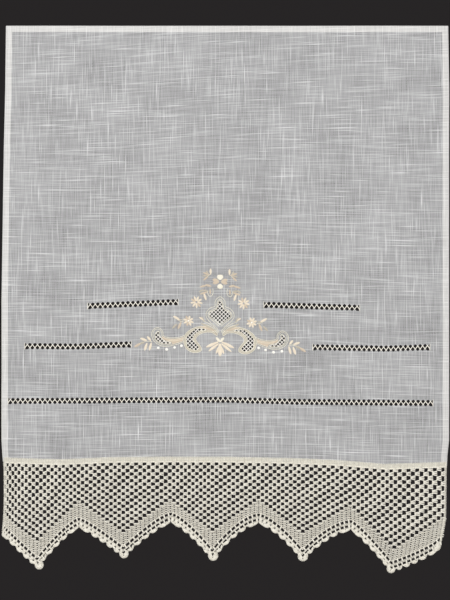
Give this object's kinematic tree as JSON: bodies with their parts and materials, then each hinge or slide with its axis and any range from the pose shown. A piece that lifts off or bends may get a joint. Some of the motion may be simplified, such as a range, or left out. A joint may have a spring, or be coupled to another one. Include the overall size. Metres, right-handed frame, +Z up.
{
  "type": "lace curtain",
  "caption": "Sheer voile curtain panel with narrow folded hems and a crocheted net border that ends in a scalloped zigzag edge",
  "frame": {"origin": "the middle of the curtain's top edge", "axes": "+X across the curtain to the viewer's right, +Z up along the hang of the cloth, -Y out of its front face"},
  "size_m": [0.6044, 0.0206, 0.7386],
  "materials": {
    "voile": "sheer slub voile in off-white, with folded hems of the same cloth",
    "crochet": "cream cotton crochet yarn, matte",
    "satin_stitch": "cream embroidery floss in satin stitch, soft sheen",
    "beige_stitch": "beige embroidery floss in satin stitch, soft sheen"
  },
  "bodies": {
    "root": {"panel": "voile", "lace_border": "crochet"}
  },
  "joints": []
}
